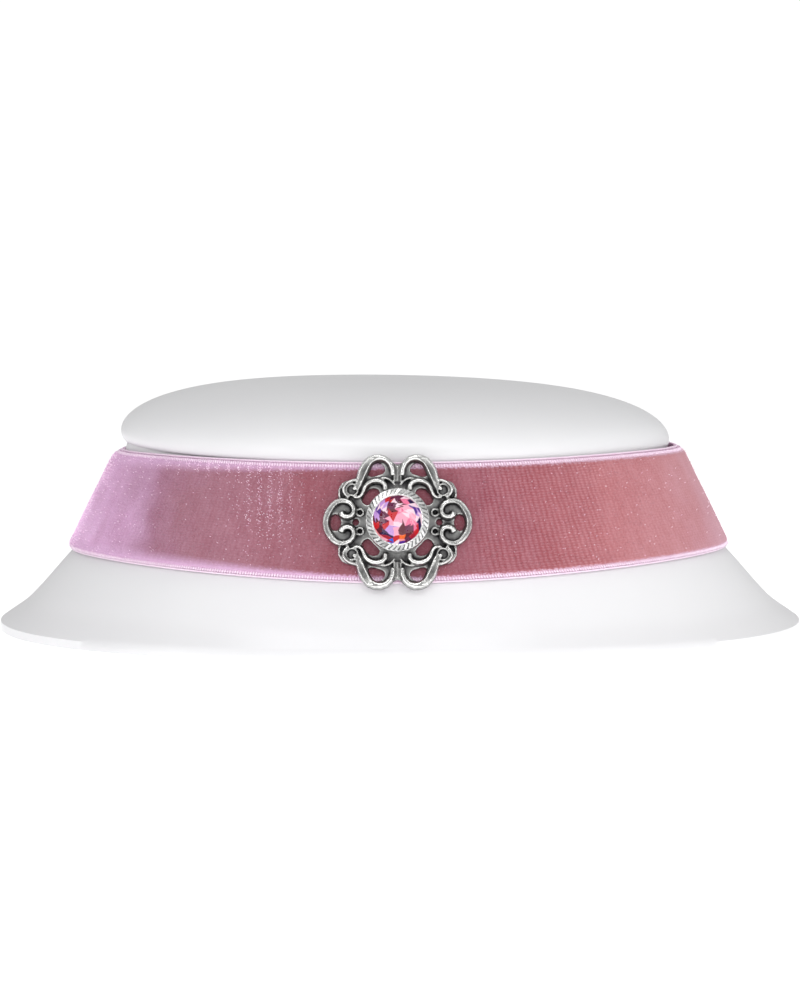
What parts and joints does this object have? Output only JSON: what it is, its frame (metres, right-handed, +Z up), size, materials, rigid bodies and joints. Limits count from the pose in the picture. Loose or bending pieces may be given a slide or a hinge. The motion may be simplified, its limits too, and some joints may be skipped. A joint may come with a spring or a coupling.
{
  "type": "choker necklace on a neck bust",
  "caption": "Velvet ribbon choker with a cast scroll ornament and a round faceted stone, worn on a plain low display bust.",
  "frame": {"origin": "middle of the bust's flat base, on the surface it stands on", "axes": "+Z up, +X to the right as seen from the front, -Y towards the front, where the ornament is"},
  "size_m": [0.146, 0.112, 0.0452],
  "materials": {
    "white_gloss": "smooth glossy white",
    "rose_velvet": "short velvet pile, dusty rose with a lilac sheen, paler woven selvedges",
    "antique_silver": "silver-plated cast metal, bright on its edges and dark in its hollows",
    "bright_silver": "silver-plated, milled rim",
    "plain_steel": "plain satin",
    "rose_crystal": "cut and polished, foil behind"
  },
  "bodies": {
    "root": {"neck_bust": "white_gloss", "velvet_ribbon": "rose_velvet", "back_clasp": "plain_steel", "filigree": "antique_silver", "bezel_cup": "bright_silver", "crystal": "rose_crystal"}
  },
  "joints": []
}
